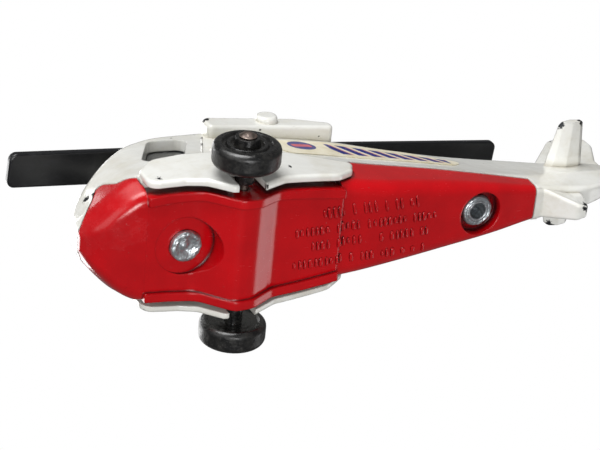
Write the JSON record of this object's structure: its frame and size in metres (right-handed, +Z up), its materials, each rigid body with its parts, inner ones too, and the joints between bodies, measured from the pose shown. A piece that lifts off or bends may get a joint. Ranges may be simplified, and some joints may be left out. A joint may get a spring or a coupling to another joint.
{
  "type": "toy helicopter",
  "caption": "Die-cast toy helicopter: enamelled metal body on a plastic base, free-rolling wheels on a steel axle, and a rotor that spins by hand.",
  "frame": {"origin": "bottom centre of the whole object's box, on the ground plane that the two wheels and the tail skid stand on", "axes": "+X towards the nose, +Y to port, +Z up"},
  "size_m": [0.083, 0.0298, 0.027],
  "materials": {
    "white_enamel": "gloss stoved enamel on zinc, grimy and chipped at edges",
    "red_plastic": "gloss moulded styrene with fine scuffs",
    "smoked_glazing": "smoke-tinted clear plastic",
    "axle_steel": "dull drawn wire, slightly browned",
    "black_plastic": "satin black with dusty tread",
    "blade_plastic": "smooth satin black",
    "bare_zinc": "peened bare zinc alloy",
    "label_paper": "aged cream paper sticker with printed marks"
  },
  "bodies": {
    "airframe": {"body_casting": "white_enamel", "red_base": "red_plastic", "window_moulding": "smoked_glazing", "front_rivet": "bare_zinc", "rear_rivet": "bare_zinc", "port_label": "label_paper", "starboard_label": "label_paper"},
    "rotor": {"rotor": "blade_plastic"},
    "axle": {"axle": "axle_steel"},
    "port_wheel": {"port_wheel": "black_plastic"},
    "starboard_wheel": {"starboard_wheel": "black_plastic"}
  },
  "joints": [
    {"name": "rotor_spin", "type": "hinge", "parent": "airframe", "child": "rotor", "pos_m": [0.00555, 0, 0.02545], "axis": [0, 0, 1], "continuous": true},
    {"name": "axle_spin", "type": "hinge", "parent": "airframe", "child": "axle", "pos_m": [0.01832, 0, 0.00425], "axis": [0, 1, 0], "continuous": true},
    {"name": "port_wheel_spin", "type": "hinge", "parent": "axle", "child": "port_wheel", "pos_m": [0.01832, 0.0121, 0.00425], "axis": [0, 1, 0], "continuous": true},
    {"name": "starboard_wheel_spin", "type": "hinge", "parent": "axle", "child": "starboard_wheel", "pos_m": [0.01832, -0.0121, 0.00425], "axis": [0, 1, 0], "continuous": true}
  ]
}
